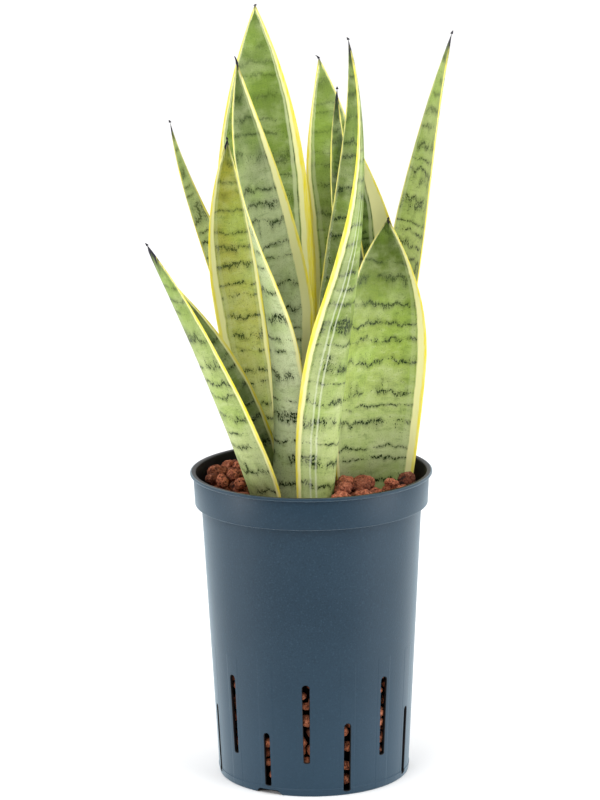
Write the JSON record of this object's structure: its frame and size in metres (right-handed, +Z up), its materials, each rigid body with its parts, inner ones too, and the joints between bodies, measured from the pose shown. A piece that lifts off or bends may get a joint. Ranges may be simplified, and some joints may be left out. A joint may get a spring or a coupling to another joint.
{
  "type": "potted snake plant",
  "caption": "Upright snake plant with channelled, yellow-edged leaves in expanded clay pebbles, in a tall slotted plastic culture pot that stands on its flat base.",
  "frame": {"origin": "centre of the pot's flat underside, on the pot's axis", "axes": "+Z up the pot's axis to the leaf tips, front towards -Y, +X to the right seen from the front"},
  "size_m": [0.1855, 0.149, 0.4728],
  "materials": {
    "pot_plastic": "satin",
    "leaf_skin": "satin",
    "fired_clay": "matte",
    "rhizome_skin": "matte"
  },
  "bodies": {
    "root": {"clay_pebble_01": "fired_clay", "clay_pebble_02": "fired_clay", "clay_pebble_03": "fired_clay", "clay_pebble_04": "fired_clay", "clay_pebble_05": "fired_clay", "clay_pebble_06": "fired_clay", "clay_pebble_07": "fired_clay", "clay_pebble_08": "fired_clay", "clay_pebble_09": "fired_clay", "clay_pebble_10": "fired_clay", "clay_pebble_11": "fired_clay", "clay_pebble_12": "fired_clay", "clay_pebble_13": "fired_clay", "clay_pebble_14": "fired_clay", "clay_pebble_15": "fired_clay", "clay_pebble_16": "fired_clay", "clay_pebble_17": "fired_clay", "clay_pebble_18": "fired_clay", "clay_pebble_19": "fired_clay", "clay_pebble_20": "fired_clay", "clay_pebble_21": "fired_clay", "clay_pebble_22": "fired_clay", "clay_pebble_23": "fired_clay", "clay_pebble_24": "fired_clay", "clay_pebble_25": "fired_clay", "clay_pebble_26": "fired_clay", "clay_pebble_27": "fired_clay", "clay_pebble_28": "fired_clay", "clay_pebble_29": "fired_clay", "clay_pebble_30": "fired_clay", "clay_pebble_31": "fired_clay", "clay_pebble_32": "fired_clay", "clay_pebble_33": "fired_clay", "clay_pebble_34": "fired_clay", "clay_pebble_35": "fired_clay", "clay_pebble_36": "fired_clay", "clay_pebble_37": "fired_clay", "clay_pebble_38": "fired_clay", "clay_pebble_39": "fired_clay", "clay_pebble_40": "fired_clay", "clay_pebble_41": "fired_clay", "clay_pebble_42": "fired_clay", "clay_pebble_bed": "fired_clay", "culture_pot": "pot_plastic", "leaf_back_centre": "leaf_skin", "leaf_back_right": "leaf_skin", "leaf_broad_front_right": "leaf_skin", "leaf_broad_left": "leaf_skin", "leaf_channelled_centre_left": "leaf_skin", "leaf_leaning_left": "leaf_skin", "leaf_leaning_right": "leaf_skin", "leaf_low_front_left": "leaf_skin", "leaf_slender_inner": "leaf_skin", "leaf_tall_back_left": "leaf_skin", "leaf_twisted_centre": "leaf_skin", "rhizome_front": "rhizome_skin", "rhizome_left": "rhizome_skin", "rhizome_right": "rhizome_skin"}
  },
  "joints": []
}
